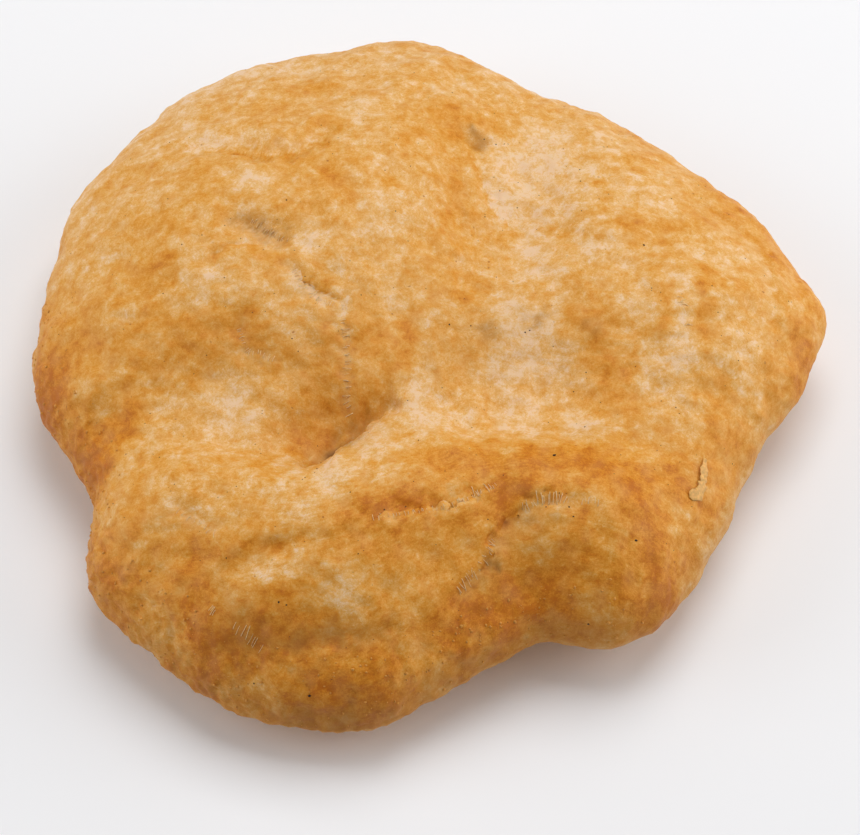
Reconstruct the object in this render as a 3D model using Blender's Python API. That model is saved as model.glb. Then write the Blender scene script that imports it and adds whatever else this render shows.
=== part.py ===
"""Fat cake: one solid piece of wheat dough, pulled flat by hand and fried until it puffed up.

The dough is a single closed body. Its outline is a ring of named reaches from the middle, its edge
runs at a height that changes round the ring, and its top skin is a crown carrying broad swells and
the folds and tears between them. The underside is a shallow bowl that rests on a flat spot.

Metres, +Z up. The origin is under the middle of the box, on the surface the piece rests on. +X runs
towards the nose, and +Y towards the back peak.
"""

import math

import bmesh
import bpy
import numpy as np

NAME = "fat_cake"
MM = 0.001

# The outline seen from above: how far the dough reaches from the middle of the pull, in mm, at an
# angle in degrees from +X towards +Y.
OUTLINE = (
    ("nose", 8, 60.5),
    ("back of the nose", 17, 58.5),
    ("right shoulder", 27, 57.0),
    ("right of the back", 38, 54.5),
    ("step in the back", 50, 53.5),
    ("back shoulder", 62, 53.5),
    ("hollow beside the peak", 73, 54.0),
    ("back peak", 92, 61.0),
    ("left of the peak", 107, 61.5),
    ("left of the back", 124, 63.5),
    ("upper left", 139, 62.5),
    ("left side", 153, 61.7),
    ("left knob", 167, 59.5),
    ("left edge", 179, 59.5),
    ("step in the left edge", 188, 58.0),
    ("mouth of the cleft", 196, 55.0),
    ("floor of the cleft", 206, 55.0),
    ("lower left corner", 217, 61.5),
    ("lower left", 231, 62.0),
    ("lower rim", 243, 63.0),
    ("front nub", 255, 62.0),
    ("front tip", 264, 59.5),
    ("front", 272, 54.0),
    ("right of the front", 282, 50.5),
    ("side of the notch", 290, 49.0),
    ("floor of the notch", 299, 53.7),
    ("front of the lobe", 307, 55.0),
    ("corner of the lobe", 317, 52.8),
    ("lower right", 330, 51.0),
    ("right side", 345, 51.0),
    ("hollow under the nose", 358, 56.5),
)

# The height of the outermost edge over the surface, in mm, at an angle round the ring.
EDGE_HEIGHT = (
    ("under the nose", 0, 11.0),
    ("right shoulder", 25, 12.5),
    ("right of the back", 60, 13.0),
    ("back", 100, 13.0),
    ("upper left", 145, 12.0),
    ("left", 180, 10.0),
    ("lower left", 210, 8.5),
    ("lower rim", 240, 7.0),
    ("front", 270, 7.5),
    ("notch, lifted", 296, 9.5),
    ("lobe", 318, 8.0),
    ("right side", 340, 9.0),
)

# The top skin: the height of its crown, and the swells and hollows on it, each a soft round bump with
# its middle (x, y), half length, half width, turn in degrees and height, in mm.
CROWN_HEIGHT = 25.5
SWELLS = (
    ("left dome", -28, 18, 30, 24, 20, 6.5),
    ("shoulder of the left dome", -6, 26, 12, 20, -10, 2.0),
    ("right dome", 42, 1, 13, 17, 10, 3.2),
    ("swell at the back right", 27, 26, 14, 12, -30, 2.0),
    ("front roll", 22, -31, 30, 10, 0, 3.4),
    ("left end of the front roll", -12, -39, 20, 9, 35, 2.2),
    ("lower left bulge", -30, -35, 24, 16, -15, 2.8),
    ("front lobe", 30, -38, 12, 9, 10, 2.6),
    ("front nub", -10, -57, 9, 3.5, 0, 2.0),
    ("back valley", 14, 22, 9, 19, -8, -3.7),
    ("pale basin in the middle", 14, -14, 18, 9, 5, -4.8),
    ("hollow at the end of the dome", -15, -19, 9, 6, 20, -3.6),
    ("thin lip of the nose", 56, 0, 6, 12, 0, -2.0),
    ("thin lip on the left", -56, -4, 6, 8, 0, -1.0),
    ("dimple", -25.5, 12.6, 6, 3.2, -20, -1.3),
    ("valley to the notch", 14, -47, 5, 9, -20, -3.5),
)

# The folds and tears: a path over the top skin, the half widths of its left and right flanks looking
# along it, and its depth, in mm.
FURROWS = (
    ("foot of the left dome", ((-50, -13), (-42, -16), (-27, -20), (-13, -23.5)), 12.0, 6.0, 4.0),
    ("crease at the end of the dome", ((-4, -14.5), (-8, -17), (-12, -21.5), (-18.5, -26)), 2.0, 2.8, 2.6),
    ("fold over the left dome", ((-37, 31), (-31, 30), (-25, 27.5), (-19, 28), (-14, 33)), 2.4, 2.4, 1.3),
    ("side of the back valley", ((1.4, 40), (4, 21), (5.4, 1)), 4.0, 2.4, 1.0),
    ("crease inside the right edge", ((35, 29), (45, 20.5), (51, 12.5), (50.4, -2.5)), 2.4, 2.4, 1.1),
    ("crease along the right rim", ((48.5, -14.5), (45, -22), (41, -28), (34, -43)), 2.6, 2.4, 1.1),
    ("fold in the lower left", ((-39, -37.5), (-29, -41.5), (-18, -40), (-4, -39)), 2.4, 2.6, 1.0),
    ("tear under the front roll", ((2.5, -47), (8, -41), (10.5, -36), (13, -33.5), (23, -33)), 2.0, 3.0, 1.0),
    ("groove over the front nub", ((-33, -49), (-26, -51.5), (-16, -52), (-4, -50)), 3.0, 2.4, 1.3),
)
FURROW_FADE = 0.5  # how blunt a furrow's two ends are: the power on its depth's half wave

# How round the section is: the power of the fall from the middle to the edge.
TOP_ROUNDNESS = 3.2
UNDERSIDE_ROUNDNESS = 2.8
FLATTENING = 0.6  # mm of the underside's lowest part lost to the flat spot it rests on

CELLS = 26  # squares along each side of the cube that the dough is drawn from
RING_SAMPLES = 720

CRUST_COLOUR = (0.672, 0.338, 0.095)  # golden brown, linear
CRUST_ROUGHNESS = 0.55


def clear_scene():
    """Removes every object of the startup scene."""
    for item in list(bpy.data.objects):
        bpy.data.objects.remove(item, do_unlink=True)


def round_the_ring(stations, angle):
    """A smooth closed curve through the stations' last values, read at the given angles in radians."""
    turn = 2 * math.pi
    places = np.radians([station[1] for station in stations])
    values = np.array([station[2] for station in stations], float)
    places = np.concatenate([places[-2:] - turn, places, places[:2] + turn])
    values = np.concatenate([values[-2:], values, values[:2]])
    slopes = (values[2:] - values[:-2]) / (places[2:] - places[:-2])
    places = places[1:-1]
    values = values[1:-1]
    angle = (angle - places[0]) % turn + places[0]
    left = np.clip(np.searchsorted(places, angle, side="right") - 1, 0, len(stations))
    step = places[left + 1] - places[left]
    share = (angle - places[left]) / step
    back = 1 - share
    return (
        values[left] * (1 + 2 * share) * back**2
        + slopes[left] * step * share * back**2
        + values[left + 1] * share**2 * (3 - 2 * share)
        - slopes[left + 1] * step * share**2 * back
    )


def swell(x, y, middle_x, middle_y, half_length, half_width, turn, height):
    """A soft bump: the height times a bell curve over a turned ellipse."""
    cosine = math.cos(math.radians(turn))
    sine = math.sin(math.radians(turn))
    along = ((x - middle_x) * cosine + (y - middle_y) * sine) / half_length
    across = ((y - middle_y) * cosine - (x - middle_x) * sine) / half_width
    return height * np.exp(-(along**2) - across**2)


def furrow(x, y, path, left_width, right_width, depth):
    """A fold: a bell-shaped groove along the path, with unlike flanks, fading out at both ends."""
    path = np.array(path, float)
    lengths = np.hypot(*np.diff(path, axis=0).T)
    starts = np.concatenate([[0], np.cumsum(lengths)])
    nearest = np.full(x.shape, np.inf)
    width = np.full(x.shape, float(left_width))
    travelled = np.zeros(x.shape)
    for start, end, length, passed in zip(path[:-1], path[1:], lengths, starts):
        direction = (end - start) / length
        along = (x - start[0]) * direction[0] + (y - start[1]) * direction[1]
        along = np.clip(along, 0, length)
        off_x = x - start[0] - along * direction[0]
        off_y = y - start[1] - along * direction[1]
        distance = np.hypot(off_x, off_y)
        closer = distance < nearest
        on_left = direction[0] * off_y > direction[1] * off_x
        nearest = np.where(closer, distance, nearest)
        width = np.where(closer, np.where(on_left, left_width, right_width), width)
        travelled = np.where(closer, (passed + along) / starts[-1], travelled)
    fade = np.sin(math.pi * travelled).clip(0) ** FURROW_FADE
    return depth * fade * np.exp(-((nearest / width) ** 2))


def crown(x, y):
    """The height of the top skin over the resting surface, before it falls away to the edge."""
    height = np.full(x.shape, CROWN_HEIGHT)
    for _, *sizes in SWELLS:
        height += swell(x, y, *sizes)
    for _, *sizes in FURROWS:
        height -= furrow(x, y, *sizes)
    return height


def dough_points(directions):
    """Takes each direction from a sphere's centre to its place on the dough, in mm.

    The direction's compass angle picks the place round the outline, and its angle from the vertical
    how far out from the middle the place is: the top half makes the top skin, the lower half the
    underside, and both end at the edge's height.
    """
    angle = np.arctan2(directions[:, 1], directions[:, 0])
    outwards = np.hypot(directions[:, 0], directions[:, 1]).clip(0, 1)
    reach = round_the_ring(OUTLINE, angle) * outwards
    edge = round_the_ring(EDGE_HEIGHT, angle)
    x = reach * np.cos(angle)
    y = reach * np.sin(angle)
    top_share = np.sqrt(1 - outwards**TOP_ROUNDNESS)
    underside_share = np.sqrt(1 - outwards**UNDERSIDE_ROUNDNESS)
    top = edge + (crown(x, y) - edge) * top_share
    underside = (edge - (edge + FLATTENING) * underside_share).clip(0)
    z = np.where(directions[:, 2] >= 0, top, underside)
    ring = np.linspace(0, 2 * math.pi, RING_SAMPLES, endpoint=False)
    ring_reach = round_the_ring(OUTLINE, ring)
    ring_x = ring_reach * np.cos(ring)
    ring_y = ring_reach * np.sin(ring)
    x -= (ring_x.max() + ring_x.min()) / 2
    y -= (ring_y.max() + ring_y.min()) / 2
    return np.stack([x, y, z], axis=1)


def dough_mesh():
    """A cube cut into even squares, blown up to a sphere and drawn out to the dough's shape."""
    sheet = bmesh.new()
    bmesh.ops.create_cube(sheet, size=2.0)
    bmesh.ops.subdivide_edges(sheet, edges=sheet.edges[:], cuts=CELLS - 1, use_grid_fill=True)
    corners = np.array([vertex.co for vertex in sheet.verts], float)
    directions = np.tan(corners * math.pi / 4)
    directions /= np.linalg.norm(directions, axis=1, keepdims=True)
    for vertex, place in zip(sheet.verts, dough_points(directions) * MM):
        vertex.co = place
    bmesh.ops.recalc_face_normals(sheet, faces=sheet.faces[:])
    mesh = bpy.data.meshes.new(NAME)
    sheet.to_mesh(mesh)
    sheet.free()
    mesh.shade_smooth()
    return mesh


def crust_material():
    """The fried crust: golden brown, neither matt nor glossy."""
    material = bpy.data.materials.new("fried_crust")
    material.use_nodes = True
    shader = material.node_tree.nodes["Principled BSDF"]
    shader.inputs["Base Color"].default_value = (*CRUST_COLOUR, 1.0)
    shader.inputs["Roughness"].default_value = CRUST_ROUGHNESS
    shader.inputs["Metallic"].default_value = 0.0
    return material


def build():
    clear_scene()
    parts = bpy.data.collections.new(NAME)
    bpy.context.scene.collection.children.link(parts)
    dough = bpy.data.objects.new(NAME, dough_mesh())
    dough.data.materials.append(crust_material())
    parts.objects.link(dough)


build()
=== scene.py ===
"""Fat cake: the looks of one piece of fried wheat dough, in metres, in the frame of its solid."""

import math

import bpy
import numpy as np
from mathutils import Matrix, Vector


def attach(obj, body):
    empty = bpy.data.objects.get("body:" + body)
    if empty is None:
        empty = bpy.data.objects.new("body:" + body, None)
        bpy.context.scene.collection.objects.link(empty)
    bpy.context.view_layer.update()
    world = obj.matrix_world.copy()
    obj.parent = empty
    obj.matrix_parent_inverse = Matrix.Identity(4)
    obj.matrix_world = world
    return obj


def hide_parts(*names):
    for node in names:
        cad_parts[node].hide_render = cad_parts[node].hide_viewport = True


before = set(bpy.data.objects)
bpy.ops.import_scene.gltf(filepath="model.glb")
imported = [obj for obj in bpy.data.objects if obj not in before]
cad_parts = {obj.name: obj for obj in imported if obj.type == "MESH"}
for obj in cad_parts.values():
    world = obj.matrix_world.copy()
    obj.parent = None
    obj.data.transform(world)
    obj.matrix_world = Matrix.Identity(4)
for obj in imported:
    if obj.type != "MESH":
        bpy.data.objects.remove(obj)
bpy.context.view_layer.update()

# ---------------------------------------------------------------------------------------------
# The dough. One piece of soft wheat dough, pulled flat by hand and dropped in deep fat. It puffed
# into domes with valleys between them, its folds stayed half open, and where the skin tore the
# pale crumb shows. The rim curls up off the surface, and the underside is a shallow bowl.
# ---------------------------------------------------------------------------------------------

MM = 0.001

# The outline seen from above, as in the solid: the reach from the middle of the pull, in mm, at an
# angle in degrees from +X towards +Y.
OUTLINE = (
    ("nose", 8, 60.5),
    ("back of the nose", 17, 58.5),
    ("right shoulder", 27, 57.0),
    ("right of the back", 38, 54.5),
    ("step in the back", 50, 53.5),
    ("back shoulder", 62, 53.5),
    ("hollow beside the peak", 73, 54.0),
    ("back peak", 92, 61.0),
    ("left of the peak", 107, 61.5),
    ("left of the back", 124, 63.5),
    ("upper left", 139, 62.5),
    ("left side", 153, 61.7),
    ("left knob", 167, 59.5),
    ("left edge", 179, 59.5),
    ("step in the left edge", 188, 58.0),
    ("mouth of the cleft", 196, 55.0),
    ("floor of the cleft", 206, 55.0),
    ("lower left corner", 217, 61.5),
    ("lower left", 231, 62.0),
    ("lower rim", 243, 63.0),
    ("front nub", 255, 62.0),
    ("front tip", 264, 59.5),
    ("front", 272, 54.0),
    ("right of the front", 282, 50.5),
    ("side of the notch", 290, 49.0),
    ("floor of the notch", 299, 53.7),
    ("front of the lobe", 307, 55.0),
    ("corner of the lobe", 317, 52.8),
    ("lower right", 330, 51.0),
    ("right side", 345, 51.0),
    ("hollow under the nose", 358, 56.5),
)

# The height of the outermost edge over the surface, in mm, at an angle round the ring.
EDGE_HEIGHT = (
    ("under the nose", 0, 11.0),
    ("right shoulder", 25, 12.5),
    ("right of the back", 60, 13.0),
    ("back", 100, 13.0),
    ("upper left", 145, 12.0),
    ("left", 180, 10.0),
    ("lower left", 210, 8.5),
    ("lower rim", 240, 7.0),
    ("front", 270, 7.5),
    ("notch, lifted", 296, 9.5),
    ("lobe", 318, 8.0),
    ("right side", 340, 9.0),
)
TOP_ROUNDNESS = 3.2
UNDERSIDE_ROUNDNESS = 2.8
FLATTENING = 0.6  # mm of the lowest part lost to the flat spot

# Swells and hollows of the top skin: middle (x, y), half length, half width, turn in degrees and
# height, in mm.
CROWN_HEIGHT = 25.5
SWELLS = (
    ("left dome", -28, 18, 30, 24, 20, 6.5),
    ("shoulder of the left dome", -6, 26, 12, 20, -10, 2.0),
    ("right dome", 42, 1, 13, 17, 10, 3.2),
    ("swell at the back right", 27, 26, 14, 12, -30, 2.0),
    ("front roll", 22, -31, 30, 10, 0, 3.4),
    ("left end of the front roll", -12, -39, 20, 9, 35, 2.2),
    ("lower left bulge", -30, -35, 24, 16, -15, 2.8),
    ("front lobe", 30, -38, 12, 9, 10, 2.6),
    ("front nub", -10, -57, 9, 3.5, 0, 2.0),
    ("back valley", 14, 22, 9, 19, -8, -3.7),
    ("pale basin in the middle", 14, -14, 18, 9, 5, -4.8),
    ("hollow at the end of the dome", -15, -19, 9, 6, 20, -3.6),
    ("thin lip of the nose", 56, 0, 6, 12, 0, -2.0),
    ("thin lip on the left", -56, -4, 6, 8, 0, -1.0),
    ("dimple", -25.5, 12.6, 6, 3.2, -20, -1.3),
    ("valley to the notch", 14, -47, 5, 9, -20, -3.5),
    ("dent in the back", 7.4, 33.6, 2.2, 1.5, -30, -0.7),
    ("blister in the basin", 7.2, -13.4, 1.7, 1.9, 0, 0.45),
    ("pit on the left", -47.1, 5.5, 0.8, 0.5, 20, -0.5),
    ("pit in the tear", 17.4, -32.9, 0.9, 1.0, 0, -0.4),
)

# Folds, creases and tears of the top skin. The path runs over it in mm; looking along it, the skin on
# its left comes down over `left` mm and the skin on its right over `right` mm to `depth` mm below.
# `lip` is how far, in mm, the left skin hangs over the gap, and `rag` is how ragged the torn edge is,
# in mm. The rest is for the left and for the right: `tones` is how much browner the crust is (paler
# below 0), `crumbs` how much of the bare crumb shows, and `painted_shades` how much painted shade darkens it
# in the gap, from 0 to 1.
FOLDS = (
    dict(name="foot of the left dome", path=((-50, -13), (-42, -16), (-27, -20), (-13, -23.5)),
         left=12, right=6, depth=4.0),
    dict(name="crease at the end of the dome",
         path=((-4, -14.5), (-8.2, -16.8), (-12.3, -21.6), (-14.2, -23.4), (-18.5, -26)),
         left=1.3, right=2.8, depth=3.0, lip=0.6, rag=0.3, tones=(-0.3, 0.35), painted_shades=(0, 0.35)),
    # Its paler left side is partly painted highlight on the ridge behind the fold, partly paler crust.
    dict(name="fold over the left dome", path=((-37, 31), (-30.8, 30.1), (-25, 27.3), (-19.3, 27.7),
        (-14, 33)),
         left=2.4, right=1.6, depth=1.5, rag=0.6, tones=(-0.3, 0.6)),
    dict(name="side of the back valley", path=((1.4, 40), (2.8, 29.9), (4, 20.9), (4.9, 12), (5.4, 1)),
         left=4.0, right=2.2, depth=1.0, rag=0.5),
    dict(name="edge of the pale valley",
         path=((6.3, 34.4), (7.1, 28.8), (8.6, 23.9), (10.3, 20.7), (11.7, 18.5), (11.2, 14.9)),
         left=1.5, right=1.1, depth=0.5, rag=0.6, tones=(-0.4, 0.35)),
    dict(name="crease inside the right edge",
         path=((35, 29), (40.2, 24.7), (45.3, 20.5), (49.5, 17.5), (51, 12.7), (51.7, 6), (50.4, -2.5)),
         left=1.3, right=2.4, depth=1.1, rag=0.4, tones=(0.3, 0.0), crumbs=(0, 0.15)),
    dict(name="crease along the right rim",
         path=((48.6, -14.6), (44.9, -22.2), (41.3, -28.3), (39.2, -33.5), (33.9, -43.1)),
         left=2.6, right=2.0, depth=1.1, rag=0.5, tones=(-0.3, 0.35)),
    dict(name="fold in the lower left",
         path=((-39, -37.5), (-32.8, -40.3), (-28.7, -41.6), (-23.8, -40.8), (-18.2, -40), (-4, -39)),
         left=1.4, right=2.6, depth=1.0, rag=0.5, tones=(0.5, 0.15)),
    dict(name="short crease in the lower left", path=((-37.5, -31.4), (-33.3, -34.1), (-29.8, -36.8)),
         left=0.8, right=1.1, depth=0.8, rag=0.4, tones=(0.4, -0.1), crumbs=(0, 0.3)),
    dict(name="torn crease of the roll",
         path=((9.7, -30.4), (5.8, -32.6), (2.3, -34.2), (-1.1, -35), (-5.6, -36.1), (-11, -38)),
         left=0.7, right=2.2, depth=0.9, lip=0.35, rag=0.6, tones=(-0.3, 0.6)),
    dict(name="tear under the front roll",
         path=((2.4, -46.8), (4.5, -44.1), (6.6, -42.2), (8, -40.7), (9, -37.5), (10.6, -35.8), (13.1, -33.4),
               (16.6, -31.9), (19, -32.3), (23, -33)),
         left=0.9, right=2.6, depth=0.8, lip=0.4, rag=0.5, tones=(0.35, 0.1), crumbs=(0, 0.15)),
    dict(name="groove over the front nub", path=((-33, -49), (-26, -51.5), (-16, -52), (-4, -50)),
         left=3.0, right=2.4, depth=1.3, rag=0.6, tones=(0.3, 0.3), painted_shades=(0.15, 0.15)),
    dict(name="edge of the scar",
         path=((-21, 7.4), (-18.8, 4.6), (-17.2, 2.7), (-15.3, 1.4), (-13.1, 0.9), (-10.8, 0.0)),
         left=0.9, right=1.8, depth=0.45, lip=0.2, rag=0.5, tones=(0.6, -1.0), crumbs=(0, 0.4)),
    dict(name="ladder under the scar",
         path=((-12.8, -1.2), (-12, -5.7), (-11.9, -9.3), (-12, -13.3), (-11.4, -16.2)),
         left=0.7, right=0.7, depth=0.45, rag=0.7, tones=(-0.1, -0.1), crumbs=(0.3, 0.3)),
    dict(name="left ladder", path=((-28, -3), (-27.2, -5.2), (-26.4, -6.9), (-24.3, -7.4), (-22, -8.5)),
         left=0.5, right=0.5, depth=0.3, rag=0.6, tones=(-0.1, -0.1), crumbs=(0.3, 0.3)),
    dict(name="arc below the dimple",
         path=((-32.8, 5.5), (-31.6, 8.7), (-29.8, 9.8), (-27.1, 10.2), (-24, 9.4)),
         left=0.6, right=1.7, depth=0.5, lip=0.2, rag=0.3, tones=(-0.3, 0.55)),
    dict(name="rough dimple", path=((-29.5, 14.6), (-26.5, 13.4), (-23.5, 11.3), (-20, 9.8)),
         left=1.2, right=1.5, depth=0.8, rag=0.6, tones=(0.4, 0.1), crumbs=(0.1, 0.4), painted_shades=(0.45, 0.2)),
)

MEAN_REACH = 56.0  # mm from the middle to the edge, on average
MEAN_EDGE_HEIGHT = 9  # mm
FOLD_FADE = 0.5  # how blunt a fold's two ends are: the power on its depth's half wave
RAG_LENGTHS = (2.6, 1.1)  # mm between the tatters of a torn edge, coarse and fine
NET_PULL = 0.5  # share by which the net is drawn closer at a lip
NET_PULL_REACH = 3.5  # mm on each side over which it is
LIP_PLACE = 0.7  # mm from the fold to the thickest place of its lip
LIP_WIDTH = 1.1  # mm
LIP_RISE = 0.25  # how far a lip rises, as a share of how far it hangs over
RIM_FADE = 8  # lips fade out over the last one in this many parts of the way out

TOP_CELLS = 280  # squares across the top skin, about 0.4 mm each
UNDERSIDE_CELLS = TOP_CELLS // 2
UNDERSIDE_REACH = 1 - 1 / (UNDERSIDE_CELLS / 2 + 1)  # share of the underside up to the strip at the edge
RING_SAMPLES = 720


def round_the_ring(stations, angle):
    """A smooth closed curve through the stations' last values: a cubic between each two stations,
    whose slope at a station is that of the straight line between its two neighbours."""
    turn = 2 * math.pi
    places = np.radians([station[1] for station in stations])
    values = np.array([station[2] for station in stations], float)
    places = np.concatenate([places[-2:] - turn, places, places[:2] + turn])
    values = np.concatenate([values[-2:], values, values[:2]])
    slopes = (values[2:] - values[:-2]) / (places[2:] - places[:-2])
    places = places[1:-1]
    values = values[1:-1]
    angle = (angle - places[0]) % turn + places[0]
    left = np.clip(np.searchsorted(places, angle, side="right") - 1, 0, len(stations))
    step = places[left + 1] - places[left]
    share = (angle - places[left]) / step
    back = 1 - share
    return (
        values[left] * (1 + 2 * share) * back**2
        + slopes[left] * step * share * back**2
        + values[left + 1] * share**2 * (3 - 2 * share)
        - slopes[left + 1] * step * share**2 * back
    )


def swell(x, y, middle_x, middle_y, half_length, half_width, turn, height):
    """A soft bump: the height times a bell curve over a turned ellipse."""
    cosine = math.cos(math.radians(turn))
    sine = math.sin(math.radians(turn))
    along = ((x - middle_x) * cosine + (y - middle_y) * sine) / half_length
    across = ((y - middle_y) * cosine - (x - middle_x) * sine) / half_width
    return height * np.exp(-(along**2) - across**2)


WAVE_SPREAD = (0.67, 1.33)  # the shortest and the longest of a set of waves, as shares of the named length
WAVE_GAIN = 1.2


def waves(places, length, seed, count=40):
    """Random lumps about `length` mm apart: the sum of plane waves in random directions, of lengths
    within a third of that one, scaled so that most values lie between -1 and 1."""
    draw = np.random.default_rng(seed)
    ways = draw.normal(size=(count, places.shape[-1]))
    ways /= np.linalg.norm(ways, axis=1, keepdims=True)
    ways *= (2 * math.pi / (length * draw.uniform(*WAVE_SPREAD, count)))[:, None]
    phases = draw.uniform(0, 2 * math.pi, count)
    total = np.zeros(places.shape[:-1])
    for way, phase in zip(ways, phases):
        total += np.cos(places @ way + phase)
    return total / math.sqrt(2 * count) * WAVE_GAIN


def beside(x, y, path, rag=0.0):
    """How far each place is from the path (positive on its left), the share of the path's length
    reached there, and the unit direction away from the path, with the path made ragged by `rag` mm."""
    if rag:
        plan = np.stack([x, y], axis=-1)
        coarse, fine = RAG_LENGTHS
        x = x + rag * waves(plan, coarse, 11) + rag / 2 * waves(plan, fine, 12)
        y = y + rag * waves(plan, coarse, 13) + rag / 2 * waves(plan, fine, 14)
    path = np.array(path, float)
    lengths = np.hypot(*np.diff(path, axis=0).T)
    starts = np.concatenate([[0], np.cumsum(lengths)])
    nearest = np.full(x.shape, np.inf)
    signed = np.zeros(x.shape)
    share = np.zeros(x.shape)
    away = np.zeros(x.shape + (2,))
    for start, end, length, passed in zip(path[:-1], path[1:], lengths, starts):
        way = (end - start) / length
        along = ((x - start[0]) * way[0] + (y - start[1]) * way[1]).clip(0, length)
        off_x = x - start[0] - along * way[0]
        off_y = y - start[1] - along * way[1]
        distance = np.hypot(off_x, off_y)
        closer = distance < nearest
        side = np.where(way[0] * off_y > way[1] * off_x, 1.0, -1.0)
        nearest = np.where(closer, distance, nearest)
        signed = np.where(closer, distance * side, signed)
        share = np.where(closer, (passed + along) / starts[-1], share)
        unit = np.stack([-way[1] * np.ones_like(x), way[0] * np.ones_like(x)], axis=-1)
        away = np.where(closer[..., None], unit, away)
    return signed, share, away


def disc(cells):
    """A square net of cells laid on the unit disc without pinching: squares about the middle become
    rings, so each place has an angle and a share of the way out."""
    line = np.linspace(-1, 1, cells + 1)
    across, up = np.meshgrid(line, line)
    share = np.maximum(np.abs(across), np.abs(up))
    safe = np.where(share > 0, share, 1)
    flat = np.abs(across) >= np.abs(up)
    quarter = math.pi / 4
    angle = np.where(flat, quarter * up / safe, 2 * quarter - quarter * across / safe)
    angle = np.where(flat & (across < 0), math.pi - quarter * up / safe, angle)
    angle = np.where(~flat & (up < 0), -2 * quarter + quarter * across / safe, angle)
    return share, angle


def even_shares(share, roundness, fall, radius=MEAN_REACH):
    """The share of the way out in plan that gives even steps along a section falling by `fall` mm."""
    out = 1 - (1 - np.linspace(0, 1, 2001)) ** 2
    height = fall * np.sqrt(1 - out**roundness)
    passed = np.concatenate([[0], np.cumsum(np.hypot(np.diff(out * radius), np.diff(height)))])
    return np.interp(share, passed / passed[-1], out)


def crown(x, y, fold_fields):
    """The height of the top skin before it falls away to the edge: swells less folds."""
    height = np.full(x.shape, CROWN_HEIGHT)
    for _, *sizes in SWELLS:
        height += swell(x, y, *sizes)
    for fold, (signed, fade, _) in zip(FOLDS, fold_fields):
        width = np.where(signed > 0, fold["left"], fold["right"])
        height -= fold["depth"] * fade * np.exp(-((signed / width) ** 2))
    return height


def fold_field(x, y, fold):
    """Signed distance from a fold, how much of its depth is there, and the way across it."""
    signed, share, away = beside(x, y, fold["path"], fold.get("rag", 0.0))
    return signed, np.sin(math.pi * share).clip(0) ** FOLD_FADE, away


def top_skin():
    """The top skin's places in mm, with the fields of its folds. Its net is drawn closer together at
    the lips, then each place is raised to the crown, and last the lips are pulled over."""
    share, angle = disc(TOP_CELLS)
    outwards = even_shares(share, TOP_ROUNDNESS, CROWN_HEIGHT - MEAN_EDGE_HEIGHT)
    reach = outwards * round_the_ring(OUTLINE, angle)
    x = reach * np.cos(angle)
    y = reach * np.sin(angle)
    inside = np.clip((1 - share) * RIM_FADE, 0, 1)
    for fold in FOLDS:
        if fold.get("lip"):
            signed, fade, away = fold_field(x, y, fold)
            pull = NET_PULL * signed * np.exp(-((signed / NET_PULL_REACH) ** 2)) * fade * inside
            x = x - away[..., 0] * pull
            y = y - away[..., 1] * pull
    angle = np.arctan2(y, x)
    outwards = np.where(share < 1, np.hypot(x, y) / round_the_ring(OUTLINE, angle), 1).clip(0, 1)
    fields = [fold_field(x, y, fold) for fold in FOLDS]
    edge = round_the_ring(EDGE_HEIGHT, angle)
    height = edge + (crown(x, y, fields) - edge) * np.sqrt(1 - outwards**TOP_ROUNDNESS)
    for fold, (signed, fade, away) in zip(FOLDS, fields):
        if fold.get("lip"):
            over = fold["lip"] * fade * np.exp(-(((signed - LIP_PLACE) / LIP_WIDTH) ** 2)) * inside
            x = x - away[..., 0] * over
            y = y - away[..., 1] * over
            height = height + LIP_RISE * over
    return np.stack([x, y, height], axis=-1), fields


def underside():
    """The underside's places in mm: a bowl from the edge down to the flat spot."""
    share, angle = disc(UNDERSIDE_CELLS)
    outwards = even_shares(share * UNDERSIDE_REACH, UNDERSIDE_ROUNDNESS, MEAN_EDGE_HEIGHT)
    reach = outwards * round_the_ring(OUTLINE, angle)
    edge = round_the_ring(EDGE_HEIGHT, angle)
    bowl = np.sqrt(1 - outwards**UNDERSIDE_ROUNDNESS)
    height = (edge - (edge + FLATTENING) * bowl).clip(0)
    return np.stack([reach * np.cos(angle), reach * np.sin(angle), height], axis=-1)


def round_the_net(numbers):
    """The vertex numbers round a net's four sides, in order."""
    return np.concatenate([numbers[0, :-1], numbers[:-1, -1], numbers[-1, :0:-1], numbers[:0:-1, 0]])


def net_faces(numbers):
    """The squares of a net of vertex numbers."""
    return np.stack([numbers[:-1, :-1], numbers[:-1, 1:], numbers[1:, 1:], numbers[1:, :-1]],
        axis=-1).reshape(-1, 4)


top_places, fold_fields = top_skin()
under_places = underside()
top_numbers = np.arange((TOP_CELLS + 1) ** 2).reshape(TOP_CELLS + 1, -1)
under_numbers = top_numbers.size + np.arange((UNDERSIDE_CELLS + 1) ** 2).reshape(UNDERSIDE_CELLS + 1, -1)
top_ring = round_the_net(top_numbers)
under_ring = round_the_net(under_numbers)
edge_strip = np.stack(
    [under_ring, np.roll(under_ring, -1), np.roll(top_ring, -2)[::2], top_ring[1::2], top_ring[::2]], axis=1
)
ring_angle = np.linspace(0, 2 * math.pi, RING_SAMPLES, endpoint=False)
ring_reach = round_the_ring(OUTLINE, ring_angle)[:, None]
ring_plan = ring_reach * np.stack([np.cos(ring_angle), np.sin(ring_angle)], axis=1)
middle = (ring_plan.max(axis=0) + ring_plan.min(axis=0)) / 2

places = np.concatenate([top_places.reshape(-1, 3), under_places.reshape(-1, 3)])
is_top = np.arange(len(places)) < top_numbers.size
plan = places[:, :2].copy()
places[:, :2] -= middle

dough_mesh = bpy.data.meshes.new("fat_cake_dough")
faces = net_faces(top_numbers).tolist() + net_faces(under_numbers)[:, ::-1].tolist() + edge_strip.tolist()
dough_mesh.from_pydata((places * MM).tolist(), [], faces)
dough_mesh.update()

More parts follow.
